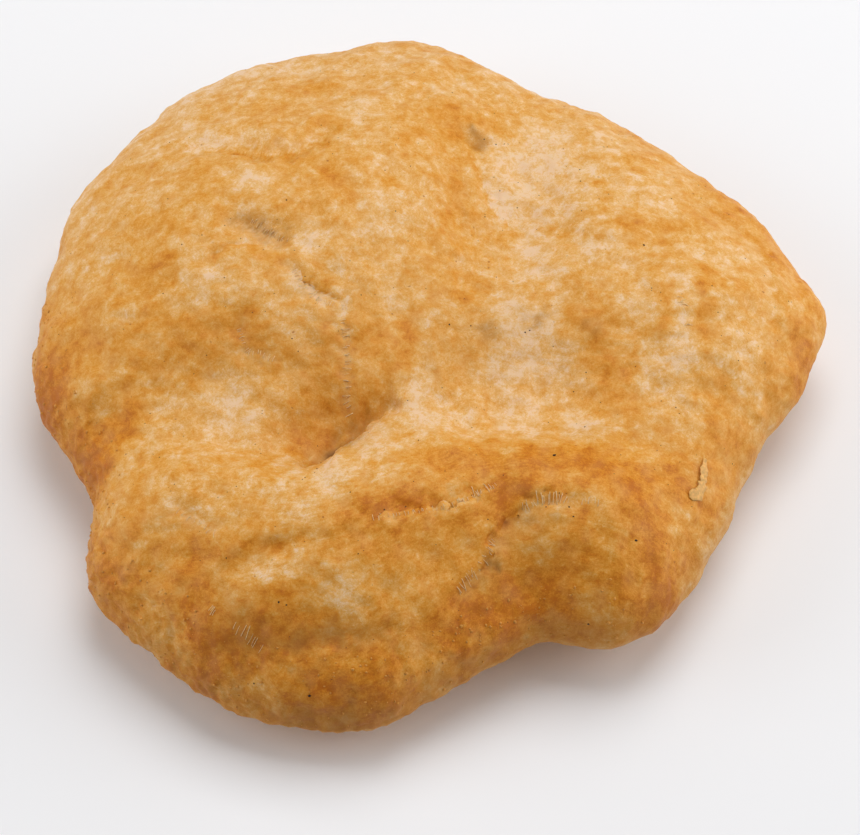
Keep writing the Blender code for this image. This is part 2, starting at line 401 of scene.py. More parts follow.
normals = np.empty(len(places) * 3, np.float32)
dough_mesh.vertex_normals.foreach_get("vector", normals)
normals = normals.reshape(-1, 3).astype(float)

# The skin's own unevenness, along its normal, in mm: soft lumps, each size with its height.
LUMPS = ((9.0, 0.26, 21), (4.5, 0.13, 22), (2.2, 0.06, 23), (1.2, 0.035, 24))
LOW_RIM = (225, 55, 0.09)  # the crumbly rim: degrees round the ring, its spread, and its share of the way in
CRUMBLE = (0.20, 1.6)  # mm high and mm apart
RESTING = 0.05  # mm over the table up to which the underside stays flat
GROUND_FADE = 1.5  # mm over the table up to which its lumps are smaller
lumps = np.zeros(len(places))
for length, height, seed in LUMPS:
    lumps += height * waves(places, length, seed)
angle_about = np.degrees(np.arctan2(plan[:, 1], plan[:, 0])) % 360
reach_share = np.hypot(plan[:, 0], plan[:, 1]) / round_the_ring(OUTLINE, np.radians(angle_about))
rim_turn, rim_spread, rim_width = LOW_RIM
low_rim = np.exp(-(((angle_about - rim_turn) / rim_spread) ** 2))
low_rim = low_rim * np.exp(-(((reach_share - 1) / rim_width) ** 2))
crumble = low_rim * CRUMBLE[0] * waves(places, CRUMBLE[1], 31)
resting = (~is_top) & (places[:, 2] < RESTING)
lift = np.where(resting, 0, lumps + crumble)
grounded = np.clip(places[:, 2] / GROUND_FADE, 0, 1)
places += normals * (lift * np.where(is_top, 1, grounded))[:, None]
places[:, 2] = places[:, 2].clip(0)
dough_mesh.vertices.foreach_set("co", (places * MM).astype(np.float32).ravel())
dough_mesh.update()
dough_mesh.shade_smooth()

# How the top skin is coloured, patch by patch: middle (x, y), half length and half width in mm, turn in
# degrees, and how much browner than plain crust the middle is (paler below 0).
PATCHES = (
    ("back of the left dome", -22, 48, 26, 8, -5, -0.32),
    ("orange on the back peak", -8, 46, 9, 4, 0, 0.25),
    # Painted highlight: a whitish spot on the ridge behind the fold over the left dome.
    ("painted highlight on the left dome", -33, 33, 3.5, 2.0, 0, -0.75),
    ("pale spot behind the fold", -9, 37, 3.5, 2.2, 0, -0.40),
    ("orange spots behind the fold", -25, 38, 2.2, 3.0, 20, 0.35),
    ("orange spot left of the peak", -18, 44, 3.0, 2.5, 0, 0.35),
    ("upper left side", -48, 24, 7, 14, -30, -0.15),
    ("orange spot over the dimple", -14, 21, 1.6, 5.0, 50, 0.40),
    ("pale spot over the dimple", -27, 20.5, 2.6, 2.0, 0, -0.35),
    ("pale spot right of the dimple", -20, 11, 4.5, 2.0, 0, -0.55),
    ("pale crown of the dome", -8, 15, 3.0, 3.5, 0, -0.35),
    ("pale crown by the valley", -3, 18, 2.5, 3.0, 0, -0.40),
    ("whitish spot left of the arc", -35, 4.5, 2.0, 5.0, 10, -0.60),
    ("pale spot inside the arc", -29, 2.0, 3.0, 3.0, 0, -0.40),
    ("pale spot under the scar", -21, -3.5, 2.2, 2.6, 0, -0.55),
    ("whitish column under the scar", -12.6, -3.5, 0.9, 2.6, 0, -0.55),
    ("orange spot on the left", -39.5, 7.5, 2.8, 1.8, 20, 0.65),
    ("orange spot behind it", -37, 13, 1.3, 1.3, 0, 0.35),
    ("left slope of the dome", -50, 8, 5, 4, 0, 0.15),
    ("orange band on the crown", -3.1, 1.0, 1.1, 6.0, 0, 0.45),
    ("pale strip beside it", -6, 4, 1.2, 3.0, 0, -0.25),
    ("flank of the left dome", -33, -3.5, 20, 4.5, -5, 0.35),
    ("olive end of the dome", -15, -13, 3.0, 5.5, -10, 0.45),
    ("brown side of the dome", -9, -14, 1.6, 3.5, 10, 0.40),
    ("orange foot of the dome", -17, -20, 3.2, 1.5, 5, 0.50),
    ("streak beside the back valley", 3.4, 35, 1.8, 6.0, -5, 0.50),
    ("streak further down the valley", 4.6, 22, 1.3, 7.0, -5, 0.35),
    ("orange over the pale valley", 10, 37.5, 4.5, 1.8, -20, 0.45),
    ("purple brown dent", 7.3, 33.8, 1.6, 1.0, -30, 0.35),
    ("pale back valley", 15.5, 27, 6.0, 7.0, -10, -0.85),
    ("pale valley further right", 19, 34, 5.5, 5.0, 0, -0.45),
    ("pale foot of the back valley", 15, 12, 2.8, 9.0, 0, -0.60),
    ("orange foot of the valley", 7, 4, 1.8, 2.2, 0, 0.35),
    ("smudge in the valley", 15.4, -0.6, 2.0, 1.0, 10, 0.40),
    ("pale middle", 14, -6, 4.2, 6.5, 0, -0.95),
    ("pale front of the middle", 18, -17.5, 5.5, 3.0, 5, -0.65),
    ("blister in the middle", 7.2, -13.2, 1.7, 1.9, 0, -0.50),
    ("pale front of the valley", -1, -18, 6.5, 3.2, 15, -0.60),
    ("whitish band under the crease", -11.5, -25.5, 4.5, 2.4, 35, -0.85),
    ("pale band further left", -19, -30, 7.0, 2.4, 20, -0.35),
    ("pale band down to the roll", -15.5, -34.5, 3.0, 2.0, 30, -0.40),
    ("brown strip right of the middle", 25, -7, 1.8, 6.5, 5, 0.55),
    ("orange strip beside it", 30, -8, 1.1, 9.0, 0, 0.30),
    ("orange knot on the right dome", 28, 17, 1.6, 1.6, 0, 0.75),
    ("orange beside the knot", 33.5, 15.5, 2.6, 1.6, 0, 0.35),
    ("back of the right dome", 27, 26, 9, 4.5, -20, -0.30),
    ("pale spot on the right dome", 25, 11, 2.5, 2.6, 0, -0.50),
    ("pale spot in front of it", 27.5, 6, 4.0, 2.2, 35, -0.45),
    ("pale spot between the strips", 36, 7, 2.4, 2.2, 0, -0.45),
    ("torn strip on the right dome", 37.8, 0, 1.3, 4.0, -12, -0.50),
    ("orange left of the torn strip", 35, 1.5, 0.9, 4.2, -5, 0.60),
    ("orange right of the torn strip", 40.6, 3.0, 1.1, 4.2, -10, 0.65),
    ("pale spot near the nose", 43, 12, 2.8, 2.6, 0, -0.45),
    ("pale side of the right dome", 45.5, -4.5, 2.6, 5.0, 0, -0.55),
    ("pale front of the right dome", 34.5, -7.5, 4.5, 3.0, -15, -0.45),
    ("orange tip of the nose", 57.5, -1.5, 2.4, 4.5, 20, 0.75),
    ("orange right shoulder", 50, 22, 10, 1.8, -50, 0.25),
    ("left rim", -56.5, -7, 2.8, 6.0, 0, 0.80),
    ("orange spot on the left foot", -44, -14, 2.8, 2.2, 40, 0.75),
    ("orange left foot", -49, -17, 3.0, 4.5, 20, 0.70),
    ("whitish patch on the left foot", -29, -17, 4.5, 3.4, 0, -0.55),
    ("pale patch beside it", -38.5, -13.5, 3.0, 2.4, 0, -0.35),
    ("crest of the front roll", 12, -26.5, 15, 3.0, 0, 0.65),
    ("orange end of the roll crest", 24.5, -27, 5.0, 3.4, -20, 0.50),
    ("orange behind the tear", 11.0, -31.5, 1.4, 5.0, -45, 0.55),
    ("orange over the torn crease", -5.5, -34.8, 6.5, 1.7, 12, 0.75),
    ("whitish spot over the crease", 2.8, -33.5, 1.8, 1.6, 0, -0.55),
    ("left end of the roll", -3, -40.5, 9, 3.5, 15, 0.25),
    ("crumb in the tear", 17.5, -36, 3.2, 3.0, 0, 0.10),
    ("orange lip over the tear", 10.5, -34.5, 1.3, 3.4, -40, 0.45),
    ("orange top of the tear", 18, -31.2, 4.5, 1.0, 0, 0.40),
    ("lower crumb in the tear", 13, -39, 2.2, 2.0, 0, -0.15),
    ("right side of the lobe", 31, -33, 2.6, 5.5, 15, 0.75),
    ("orange spots on the lobe", 22, -37, 2.0, 2.4, 0, 0.35),
    ("front of the lobe", 33, -43, 5.0, 4.0, 10, 0.80),
    ("floor of the notch", 16, -43.5, 8.0, 3.0, 15, 0.60),
    ("left of the notch", 5, -48.5, 6.0, 3.0, 20, 0.55),
    ("orange beside the flake", 37.2, -26, 1.8, 3.0, 15, 0.60),
    ("low left fold", -30, -39.5, 6.0, 1.4, -8, 0.40),
    ("low left corner", -45, -39, 4.0, 5.5, 20, 0.50),
    ("brown under the low fold", -34, -46, 2.6, 5.0, 10, 0.85),
    ("brown right of it", -22, -47, 5.0, 2.6, 0, 0.60),
    ("low left brown", -28, -52.5, 6.0, 3.0, -10, 0.75),
    ("whitish spot under the low fold", -21.5, -42.8, 3.4, 1.8, 5, -0.75),
    ("whitish spot in the low middle", -12, -47, 3.2, 1.7, 20, -0.70),
    ("low front", -11, -57, 11.0, 4.5, 0, 0.75),
    ("slope down to the notch", 6, -44, 16, 7, 15, 0.30),
    ("right flank", 44, -16, 6, 14, -10, 0.25),
    ("pale spot in the low front", -3, -53.5, 2.4, 1.8, 0, -0.35),
    ("pale spot on the low left", -25, -56, 2.4, 1.5, -20, -0.45),
)

# How much browner than plain crust the outermost edge is, at an angle round the ring. Part of it stayed
# above the fat, so it has a paler belt.
EDGE_TONE = (
    ("under the nose", 0, 0.3),
    ("right shoulder", 28, 0.25),
    ("right of the back", 60, -0.15),
    ("back", 100, -0.3),
    ("upper left", 150, -0.2),
    ("left knob", 175, 0.25),
    ("left", 190, 0.7),
    ("lower left corner", 215, 0.5),
    ("lower left", 235, 0.1),
    ("front nub", 255, 0.1),
    ("front", 275, 0.1),
    ("notch", 298, 0.1),
    ("lobe", 318, 0.05),
    ("lower right", 332, -0.1),
    ("right side", 346, -0.1),
)
EDGE_TONE_REACH = 0.06  # share of the way out over which it shows

# Painted shade at the crease's end, the tear's pocket, the dent, the groove, round the crease and on slopes
# that face away from the light, and a few smudges: middle, half length and half width, turn, and how dark,
# from 0 to 1.
SHADE_AND_SMUDGES = (
    ("end of the crease", -12.8, -21.9, 2.0, 0.9, 45, 0.95),
    ("foot of the back valley", 12, -2, 13, 7, 0, 0.14),
    ("side of the dome", -15, -10, 5, 6, 0, 0.12),
    ("flank of the dome", -26, -5, 10, 4, 0, 0.15),
    ("dent in the back", 7.3, 33.8, 1.7, 1.1, -30, 0.5),
    ("pocket of the tear", 8.8, -40.2, 1.3, 0.9, 60, 0.8),
    ("groove over the front nub", -13, -51.5, 12, 1.7, 3, 0.40),
    ("round the crease", -14, -19, 11, 5, 15, 0.14),
    ("behind the front roll", 28, -18.5, 13, 3, 0, 0.10),
    ("smudge in the valley", 15.4, -0.4, 1.6, 0.9, 10, 0.35),
    ("smudge beside it", 8.7, -2.7, 1.5, 0.9, 0, 0.30),
    ("smudge further right", 24.2, -2.9, 1.4, 1.6, 0, 0.30),
    ("low left", -27, -50, 6, 3, -10, 0.25),
    ("under the low front", -16, -60.5, 12, 1.8, 0, 0.25),
)
PATCH_SPREAD = 1.2  # how far the drawn patches reach, as a share of the listed sizes
PATCH_STRENGTH = 1.5  # and how much browner or paler they are, as a share of the listed values
PATCH_DRIFT = ((1.0, 6, 41), (0.5, 2.4, 43))  # mm that their edges wander, over how many mm, and the seed
PLAIN_LEVEL = -0.06
TONE_WAVES = ((16, 0.14, 51), (8, 0.18, 52), (4, 0.21, 53), (2, 0.19, 54))  # mm apart, browning, seed
PALEST_PATCH = -0.82  # a pale patch tends to this, however many of them lie on each other

browning = np.full(len(places), PLAIN_LEVEL)
drifted = plan.copy()
for wander, length, seed in PATCH_DRIFT:
    drifted += wander * np.stack([waves(plan, length, seed), waves(plan, length, seed + 1)], axis=1)
for _, mx, my, half_length, half_width, turn, brown in PATCHES:
    sizes = (mx, my, half_length * PATCH_SPREAD, half_width * PATCH_SPREAD, turn, brown * PATCH_STRENGTH)
    browning += is_top * swell(drifted[:, 0], drifted[:, 1], *sizes)
browning = np.where(browning < 0, PALEST_PATCH * np.tanh(browning / PALEST_PATCH), browning)
crumb = np.zeros(len(places))
# Painted shade: the very edge is darkened, most at the front, where it faces away from the light.
RIM_SHADE = 0.35  # how dark the very edge is, low at the front
RIM_SHADE_ARC = (270, 75)  # degrees round the ring, and its spread
RIM_SHADE_REACH = 0.025  # share of the way out over which it shows
# Painted shade: darker along the front edge, and in the creases, hollows and slopes listed above, plus a few
# smudges.
shade_and_smudge = RIM_SHADE * np.exp(-(((angle_about - RIM_SHADE_ARC[0]) / RIM_SHADE_ARC[1]) ** 2))
shade_and_smudge *= np.exp(-(((reach_share - 1) / RIM_SHADE_REACH) ** 2))
for _, *sizes in SHADE_AND_SMUDGES:
    shade_and_smudge += is_top * swell(drifted[:, 0], drifted[:, 1], *sizes)
for fold, (signed, fade, _) in zip(FOLDS, fold_fields):
    for side, width, tone, bare, dark in zip(
        (1, -1),
        (fold["left"], fold["right"]),
        fold.get("tones", (0, 0)),
        fold.get("crumbs", (0, 0)),
        fold.get("painted_shades", (0, 0)),
    ):
        weight = (fade * np.exp(-((signed / width) ** 2)) * (signed * side > 0)).ravel()
        browning[is_top] += tone * weight
        crumb[is_top] += bare * weight
        shade_and_smudge[is_top] += dark * weight
edge_tone = round_the_ring(EDGE_TONE, np.radians(angle_about))
browning += edge_tone * np.exp(-(((reach_share - 1) / EDGE_TONE_REACH) ** 2))
for length, strength, seed in TONE_WAVES:
    browning += strength * waves(places, length, seed)

# Lines that the dough's grain follows across the front, as (x, y) in mm from left to right: along the low
# rim, along the crest of the roll, and along the valley behind it.
GRAIN_LINES = (
    ((-50, -45), (-40, -52), (-30, -57), (-20, -60), (-10, -60), (0, -56), (10, -51), (20, -48), (30, -50),
        (45, -38)),
    ((-50, -33), (-43, -38), (-35, -39.3), (-20, -39.4), (-12, -38.1), (-5, -35.2), (0, -32.7), (6, -29.6),
     (12, -27.8), (19, -27.7), (26, -28.9), (32, -30), (38, -33), (43, -38)),
    ((-50, -10), (-40, -13), (-30, -17), (-20, -21), (-10, -22), (0, -18), (10, -16), (20, -17), (30, -18),
        (50, -5)),
)
GRAIN_LENGTH = 1.9  # mm along a fibre
GRAIN_WIDTH = 0.38  # mm across it
LINE_GAP = 14.0  # mm between two of the lines, on average
GRAIN_WOBBLE = (0.035, 12)  # in line gaps, and how many mm apart
FIBROUS_UP_TO = (2.2, 0.8)  # the line number that the fibres reach, and over how many they fade
FIBROUS_HALF_WIDTH = (46, 8)  # mm to the left and right that they reach, and over how many they fade
STRAY_CRUMB = (0.10, 4.0)  # how much bare crumb shows here and there, and mm apart
low_line, crest_line, valley_line = (np.interp(plan[:, 0], *np.array(line, float).T) for line in GRAIN_LINES)
front = (plan[:, 1] - low_line) / np.maximum(crest_line - low_line, 1)
behind = 1 + (plan[:, 1] - crest_line) / np.maximum(valley_line - crest_line, 1)
grain_level = np.where(plan[:, 1] < crest_line, front, behind)
wobble = GRAIN_WOBBLE[0] * waves(plan, GRAIN_WOBBLE[1], 61)
grain = np.stack([plan[:, 0] / GRAIN_LENGTH, (grain_level + wobble) * LINE_GAP / GRAIN_WIDTH, 0 * front],
    axis=1)
fibrous = np.clip((FIBROUS_UP_TO[0] - grain_level) / FIBROUS_UP_TO[1], 0, 1) * is_top
fibrous *= np.clip((FIBROUS_HALF_WIDTH[0] - np.abs(plan[:, 0])) / FIBROUS_HALF_WIDTH[1], 0, 1)
UNDERSIDE_BROWNING = 0.55
UNDERSIDE_EVENNESS = 6  # the power by which it stays even up to the edge
browning += np.where(is_top, 0, UNDERSIDE_BROWNING * (1 - reach_share.clip(0, 1) ** UNDERSIDE_EVENNESS))
crumb = (crumb + STRAY_CRUMB[0] * waves(places, STRAY_CRUMB[1], 55).clip(0)).clip(0, 1)
for name, values in (("browning", browning), ("crumb", crumb), ("fibrous", fibrous),
    ("shade_and_smudge", shade_and_smudge.clip(0, 1))):
    attribute = dough_mesh.attributes.new(name, "FLOAT", "POINT")
    attribute.data.foreach_set("value", values.astype(np.float32))
attribute = dough_mesh.attributes.new("grain", "FLOAT_VECTOR", "POINT")
attribute.data.foreach_set("vector", grain.astype(np.float32).ravel())


def linear(colour):
    """A hex sRGB colour as linear RGBA."""
    values = [int(colour[place : place + 2], 16) / 255 for place in (1, 3, 5)]
    return [v / 12.92 if v <= 0.04045 else ((v + 0.055) / 1.055) ** 2.4 for v in values] + [1.0]


def add(tree, kind, settings=(), **links):
    """A node of the kind, with its settings, and with links or values for its inputs by name."""
    node = tree.nodes.new(kind)
    for name, value in dict(settings).items():
        setattr(node, name, value)
    for name, value in links.items():
        socket = node.inputs[int(name[1:])] if name[1:].isdigit() else node.inputs[name.replace("_", " ")]
        if isinstance(value, bpy.types.NodeSocket):
            tree.links.new(value, socket)
        else:
            socket.default_value = value
    return node


PLAIN_CRUST = "#E0A14B"
BARE_CRUMB = "#DFB27C"
# Painted shade: the dark brown that the painted shade and the smudges tend to.
SHADE_AND_SMUDGE_COLOUR = "#8A5920"
BRAN_DOT = "#9C5318"
PALEST = -1.05
BROWNEST = 1.8
# Frying takes the blue out of the crust first, then the green, and the red last.
BROWNING_TAKES = np.array([0.10, 0.40, 1.7])
PALING_GIVES = np.array([0.13, 0.465, 1.53])  # below plain crust
DEEP_BROWNING_TAKES = np.array([0.18, 0.18, 0.0])  # as well, beyond DEEP_FROM
DEEP_FROM = 0.7


def crust_colour(browning):
    """The crust's linear colour: plain crust times exp(-browning x takes), and a little more when deep."""
    takes = PALING_GIVES if browning < 0 else BROWNING_TAKES
    plain = np.array(linear(PLAIN_CRUST)[:3])
    deep = max(browning - DEEP_FROM, 0)
    return (plain * np.exp(-browning * takes - deep * DEEP_BROWNING_TAKES)).clip(0, 1).tolist() + [1.0]


WANDER = (2.5, 1.2)  # mm apart and mm wide: how the clouds' edges wander
CLOUD_SIZE = 2.0  # mm, with finer ones inside
CLOUD_CONTRAST = 6.0  # browning from the palest to the brownest noise
FIBRE_CONTRAST = 1.6
RAMP_STEPS = 20
BRAN_GAP = 2.4  # mm between two places where a bran dot may lie
BRAN_RADII = (0.04, 0.09)  # of the gap: where a dot starts to fade, and where it ends
BRAN_CHOSEN = (0.74, 0.9)  # of the random draw at each place: from here dots are faint, and from here full
BRAN_STRENGTH = 0.75
DENT_SIZE = 0.9  # mm
DENT_DEPTH = 0.25  # mm


def crust_material():
    """Fried wheat crust: golden, browner in clouds and along its fibres, paler where it stayed out of the
    fat, with bare crumb in the tears, a painted highlight on the left dome, painted shade in the creases,
    hollows and along the front edge, a few smudges, and a few reddish dots of bran."""
    material = bpy.data.materials.new("fried_wheat_crust")
    material.use_nodes = True
    tree = material.node_tree
    shader = tree.nodes["Principled BSDF"]
    place = add(tree, "ShaderNodeTexCoord").outputs["Object"]
    brown = add(tree, "ShaderNodeAttribute", {"attribute_name": "browning"}).outputs["Fac"]
    crumb_level = add(tree, "ShaderNodeAttribute", {"attribute_name": "crumb"}).outputs["Fac"]
    wander = add(tree, "ShaderNodeTexNoise", Vector=place, Scale=1 / (WANDER[0] * MM), Detail=2.0)
    wander = add(tree, "ShaderNodeVectorMath", {"operation": "MULTIPLY_ADD"}, _0=wander.outputs["Color"],
                 _1=(WANDER[1] * MM,) * 3, _2=place).outputs[0]
    clouds = add(tree, "ShaderNodeTexNoise", Vector=wander, Scale=1 / (CLOUD_SIZE * MM), Detail=6.0,
        Roughness=0.95)
    clouds = add(tree, "ShaderNodeMath", {"operation": "MULTIPLY_ADD"}, _0=clouds.outputs["Fac"],
                 _1=CLOUD_CONTRAST, _2=-CLOUD_CONTRAST / 2)
    level = add(tree, "ShaderNodeMath", {"operation": "ADD"}, _0=brown, _1=clouds.outputs[0])
    grain_place = add(tree, "ShaderNodeAttribute", {"attribute_name": "grain"}).outputs["Vector"]
    fibrous_level = add(tree, "ShaderNodeAttribute", {"attribute_name": "fibrous"}).outputs["Fac"]
    fibres = add(tree, "ShaderNodeTexNoise", Vector=grain_place, Scale=1.0, Detail=3.0, Roughness=0.7)
    fibres = add(tree, "ShaderNodeMath", {"operation": "SUBTRACT"}, _0=fibres.outputs["Fac"], _1=0.5)
    fibres = add(tree, "ShaderNodeMath", {"operation": "MULTIPLY"}, _0=fibres.outputs[0], _1=fibrous_level)
    level = add(tree, "ShaderNodeMath", {"operation": "MULTIPLY_ADD"}, _0=fibres.outputs[0],
                _1=FIBRE_CONTRAST, _2=level.outputs[0])
    level = add(tree, "ShaderNodeMapRange", _0=level.outputs[0], _1=PALEST, _2=BROWNEST)
    ramp = add(tree, "ShaderNodeValToRGB", Fac=level.outputs[0])
    elements = ramp.color_ramp.elements
    while len(elements) < RAMP_STEPS:
        elements.new(0.5)
    for number, element in enumerate(elements):
        element.position = number / (RAMP_STEPS - 1)
        element.color = crust_colour(PALEST + (BROWNEST - PALEST) * element.position)
    bare = add(tree, "ShaderNodeMix", {"data_type": "RGBA"}, _0=crumb_level, _6=ramp.outputs["Color"],
        _7=linear(BARE_CRUMB))
    # Painted shade: the colour darkens towards a dark brown in creases, hollows and along the front edge, and
    # at a few smudges.
    shade_and_smudge_level = add(tree, "ShaderNodeAttribute", {"attribute_name": "shade_and_smudge"}).outputs["Fac"]
    bare = add(tree, "ShaderNodeMix", {"data_type": "RGBA"}, _0=shade_and_smudge_level, _6=bare.outputs[2],
        _7=linear(SHADE_AND_SMUDGE_COLOUR))
    bran = add(tree, "ShaderNodeTexVoronoi", Vector=wander, Scale=1 / (BRAN_GAP * MM))
    dot = add(tree, "ShaderNodeMapRange", _0=bran.outputs["Distance"],
              _1=BRAN_RADII[0], _2=BRAN_RADII[1], _3=1.0, _4=0.0)
    chosen = add(tree, "ShaderNodeSeparateColor", Color=bran.outputs["Color"])
    chosen = add(tree, "ShaderNodeMapRange", _0=chosen.outputs["Red"],
                 _1=BRAN_CHOSEN[0], _2=BRAN_CHOSEN[1], _3=0.0, _4=BRAN_STRENGTH)
    dot = add(tree, "ShaderNodeMath", {"operation": "MULTIPLY"}, _0=dot.outputs[0], _1=chosen.outputs[0])
    dotted = add(tree, "ShaderNodeMix", {"data_type": "RGBA"}, _0=dot.outputs[0], _6=bare.outputs[2],
        _7=linear(BRAN_DOT))
    tree.links.new(dotted.outputs[2], shader.inputs["Base Color"])
    shader.inputs["Roughness"].default_value = 0.5
    shader.inputs["Specular IOR Level"].default_value = 0.25
    shader.inputs["Subsurface Weight"].default_value = 0.10
    shader.inputs["Subsurface Radius"].default_value = (1.0, 0.45, 0.18)
    shader.inputs["Subsurface Scale"].default_value = 1.0 * MM
    dents = add(tree, "ShaderNodeTexNoise", Vector=place, Scale=1 / (DENT_SIZE * MM), Detail=5.0,
        Roughness=0.8)
    dents = add(tree, "ShaderNodeMath", {"operation": "MULTIPLY_ADD"}, _0=fibres.outputs[0], _1=0.5,
                _2=dents.outputs["Fac"])
    bump = add(tree, "ShaderNodeBump", Height=dents.outputs[0], Strength=0.45, Distance=DENT_DEPTH * MM)
    tree.links.new(bump.outputs["Normal"], shader.inputs["Normal"])
    return material


dough_mesh.materials.append(crust_material())
dough = bpy.data.objects.new("fat_cake_dough", dough_mesh)
bpy.context.scene.collection.objects.link(dough)
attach(dough, "root")
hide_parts("fat_cake")

# ---------------------------------------------------------------------------------------------
# The gluten strands. Where the skin tore as the dough swelled, threads of stretched gluten still
# bridge the gaps, like rungs: thin, pale and a little see-through.
# ---------------------------------------------------------------------------------------------

# The path of the gap in mm, how many strands cross it, their length in mm and how far they lean over.
STRAND_ROWS = (
    ("ladder under the scar", ((-12.6, -2.2), (-12, -5.7), (-11.9, -9.3), (-12, -13.3), (-11.4, -15.7)), 22,
        1.1, 0.08),
    ("left ladder", ((-28, -3), (-27.2, -5.2), (-26.4, -6.9), (-24.3, -7.4), (-22.4, -8.3)), 16, 0.8, 0.08),
    ("low ladder", ((-27.6, -49.2), (-25.5, -50.6), (-23.7, -52.3)), 8, 1.3, 0.06),
    ("low window", ((-31.2, -46.4), (-30.5, -47.3)), 4, 1.5, 0.1),
    ("torn crease of the roll", ((-8, -37), (-5.6, -36.3), (-1.1, -35.2), (2.3, -34.4), (5.8, -32.8)), 34,
        0.8, 0.15),
    ("end of the torn crease", ((6, -32.2), (7.8, -31.4), (9.6, -30.4)), 12, 1.3, 0.18),
    ("top of the tear", ((13.2, -33.6), (15.2, -32.8), (18.6, -32.6), (20, -33)), 20, 1.3, 0.15),
    ("side of the tear", ((4.0, -44.6), (6.6, -42.0), (8.2, -40.2), (9.4, -37.4)), 20, 1.0, 0.3),
    ("dashes right of the tear", ((21.3, -32.8), (24.8, -33.4)), 5, 1.3, 0.1),
    ("dimple", ((-26.6, 14.4), (-24.6, 12.8), (-22.6, 11.2), (-20.6, 10.3)), 16, 0.8, 0.2),
    ("scar", ((-19.9, 5.4), (-18.6, 3.0), (-16.6, 0.9), (-13.5, -0.2), (-11.6, -0.4)), 26, 1.0, 0.2),
    ("strip on the right dome", ((37.0, 2.8), (37.6, 0.2), (38.2, -2.4)), 9, 1.0, 0.4),
    ("left foot of the roll", ((-36.2, -32.6), (-33.2, -34.8), (-30.4, -37.0)), 11, 1.0, 0.3),
)
STRAND_RADIUS = 0.05
STRAND_RINGS = 7
STRAND_SIDES = 6
STRAND_RISE = 0.16  # mm that the middle of a strand stands off the skin
STRAND_SUNK = 0.06  # mm that its ends lie under the skin
STRAND_LENGTHS = (0.55, 1.15)  # the shortest and the longest, as shares of the listed length
STRAND_SCATTER = 0.15  # mm off the listed path
STRAND_SAGS = (0.4, 1.3)  # shares of the rise
STRAND_BEND = 0.05  # mm to the side
STRAND_WIDTHS = (0.6, 1.25)  # shares of the radius
STRAND_FOOT = 1.25  # how much thicker a strand is at its ends
STRAND_WAIST = 0.45  # and how much of that it loses in the middle
LEAST_UPWARDS = 0.4  # steepest skin that a strand lies on, as its direction's upward share

skin_normals = np.empty(len(places) * 3, np.float32)
dough_mesh.vertex_normals.foreach_get("vector", skin_normals)
skin_normals = skin_normals.reshape(-1, 3)[is_top].astype(float)
skin_places = places[is_top]
skin_plan = skin_places[:, :2] + middle


def skin_at(spots):
    """The places on the top skin nearest to these spots (x, y in mm), and the skin's directions there."""
    nearest = [np.argmin(((skin_plan - spot) ** 2).sum(axis=1)) for spot in spots]
    return skin_places[nearest], skin_normals[nearest]


def skin_under(spots):
    """As skin_at, but moved along the skin there to lie exactly over the spots."""
    found, directions = skin_at(spots)
    flat = spots - middle
    slope = ((flat - found[:, :2]) * directions[:, :2]).sum(axis=1) / np.maximum(directions[:, 2],
        LEAST_UPWARDS)
    return np.column_stack([flat, found[:, 2] - slope]), directions


def points_along(path, shares):
    """The places, and the unit directions, at these shares of a path's length."""
    path = np.array(path, float)
    steps = np.diff(path, axis=0)
    lengths = np.hypot(*steps.T)
    passed = np.concatenate([[0], np.cumsum(lengths)])
    reached = np.asarray(shares) * passed[-1]
    spots = np.stack([np.interp(reached, passed, path[:, axis]) for axis in (0, 1)], axis=1)
    segment = np.clip(np.searchsorted(passed, reached, side="right") - 1, 0, len(steps) - 1)
    return spots, (steps / lengths[:, None])[segment]


def tubes(middles, radii, side, up, sides):
    """Closed tubes: each ring is its middle + radius_side * cos(a) * side + radius_up * sin(a) * up.
    Shapes: middles (tubes, rings, 3), radii (tubes, rings, 2), side and up (tubes, rings, 3)."""
    turn = np.linspace(0, 2 * math.pi, sides, endpoint=False)
    rings = (
        middles[:, :, None]
        + (radii[..., :1, None] * np.cos(turn)[:, None]) * side[:, :, None]
        + (radii[..., 1:, None] * np.sin(turn)[:, None]) * up[:, :, None]
    )
    count, ring_count = middles.shape[:2]
    numbers = np.arange(count * ring_count * sides).reshape(count, ring_count, sides)
    after = np.roll(numbers, -1, axis=2)
    walls = np.stack([numbers[:, 1:], after[:, 1:], after[:, :-1], numbers[:, :-1]], axis=-1).reshape(-1, 4)
    faces = walls.tolist() + numbers[:, 0].tolist() + numbers[:, -1, ::-1].tolist()
    return rings.reshape(-1, 3), faces


def new_piece(name, points, faces, material):
    """A smooth mesh object from points in mm, riding on the body."""
    mesh = bpy.data.meshes.new(name)
    mesh.from_pydata((points * MM).tolist(), [], faces)
    mesh.shade_smooth()
    mesh.materials.append(material)
    piece = bpy.data.objects.new(name, mesh)
    bpy.context.scene.collection.objects.link(piece)
    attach(piece, "root")
    return piece


def plain_material(name, colour, roughness, scatter):
    """One colour, a little uneven from grain to grain, with some light let in."""
    material = bpy.data.materials.new(name)
    material.use_nodes = True
    tree = material.node_tree
    shader = tree.nodes["Principled BSDF"]
    place = add(tree, "ShaderNodeTexCoord").outputs["Object"]
    uneven = add(tree, "ShaderNodeTexNoise", Vector=place, Scale=1 / (0.5 * MM), Detail=2.0)
    shade = add(tree, "ShaderNodeMapRange", _0=uneven.outputs["Fac"], _1=0.3, _2=0.7, _3=0.75, _4=1.15)
    tinted = add(tree, "ShaderNodeVectorMath", {"operation": "SCALE"}, _0=linear(colour)[:3],
        _3=shade.outputs[0])
    tree.links.new(tinted.outputs[0], shader.inputs["Base Color"])
    shader.inputs["Roughness"].default_value = roughness
    shader.inputs["Specular IOR Level"].default_value = 0.3
    shader.inputs["Subsurface Weight"].default_value = scatter
    shader.inputs["Subsurface Radius"].default_value = (1.0, 0.6, 0.3)
    shader.inputs["Subsurface Scale"].default_value = 0.4 * MM
    return material


